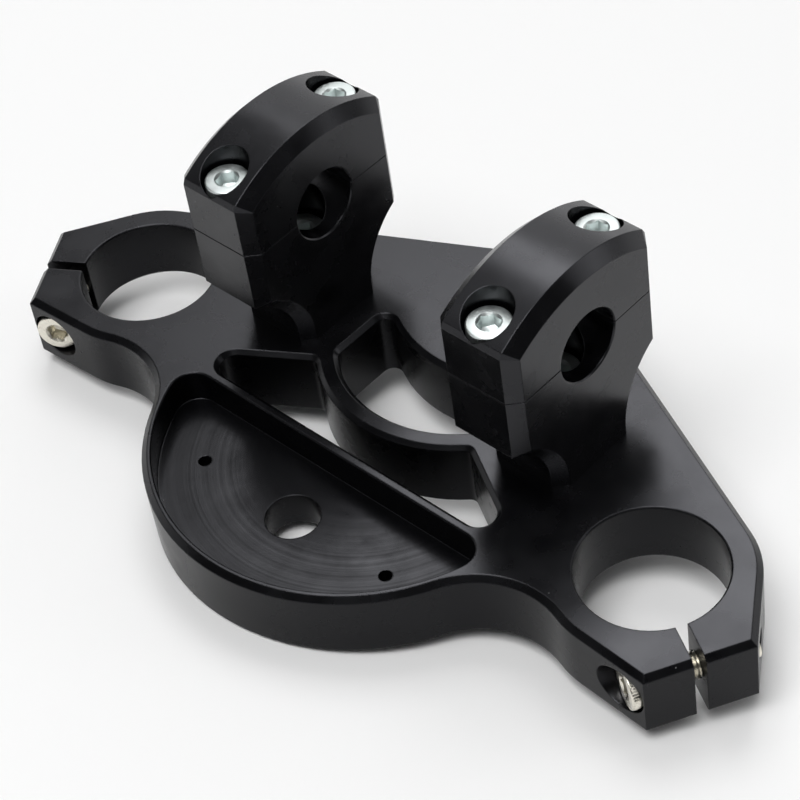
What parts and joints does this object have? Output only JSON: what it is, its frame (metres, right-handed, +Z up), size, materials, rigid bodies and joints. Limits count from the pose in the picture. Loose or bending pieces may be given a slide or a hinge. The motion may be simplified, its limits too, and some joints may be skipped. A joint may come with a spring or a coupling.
{
  "type": "motorcycle triple clamp",
  "caption": "Flat upper fork yoke with slotted clamp ears for the fork legs, a round instrument pocket, rib-divided windows and handlebar risers with bolted caps.",
  "frame": {"origin": "on the steering-stem axis at the underside of the yoke plate", "axes": "+Z up along the stem, -Y to the front of the motorcycle, +X to the right as seen from the front"},
  "size_m": [0.2764, 0.1515, 0.1052],
  "materials": {
    "black_anodised_aluminium": "satin black anodised",
    "zinc_plated_steel": "bright zinc plated"
  },
  "bodies": {
    "root": {"yoke_plate": "black_anodised_aluminium", "left_riser_base": "black_anodised_aluminium", "left_riser_cap": "black_anodised_aluminium", "left_riser_bolt": "zinc_plated_steel", "left_riser_nut": "zinc_plated_steel", "left_cap_screw_front": "zinc_plated_steel", "left_cap_screw_rear": "zinc_plated_steel", "left_pinch_screw": "zinc_plated_steel", "right_riser_base": "black_anodised_aluminium", "right_riser_cap": "black_anodised_aluminium", "right_riser_bolt": "zinc_plated_steel", "right_riser_nut": "zinc_plated_steel", "right_cap_screw_front": "zinc_plated_steel", "right_cap_screw_rear": "zinc_plated_steel", "right_pinch_screw": "zinc_plated_steel"}
  },
  "joints": []
}
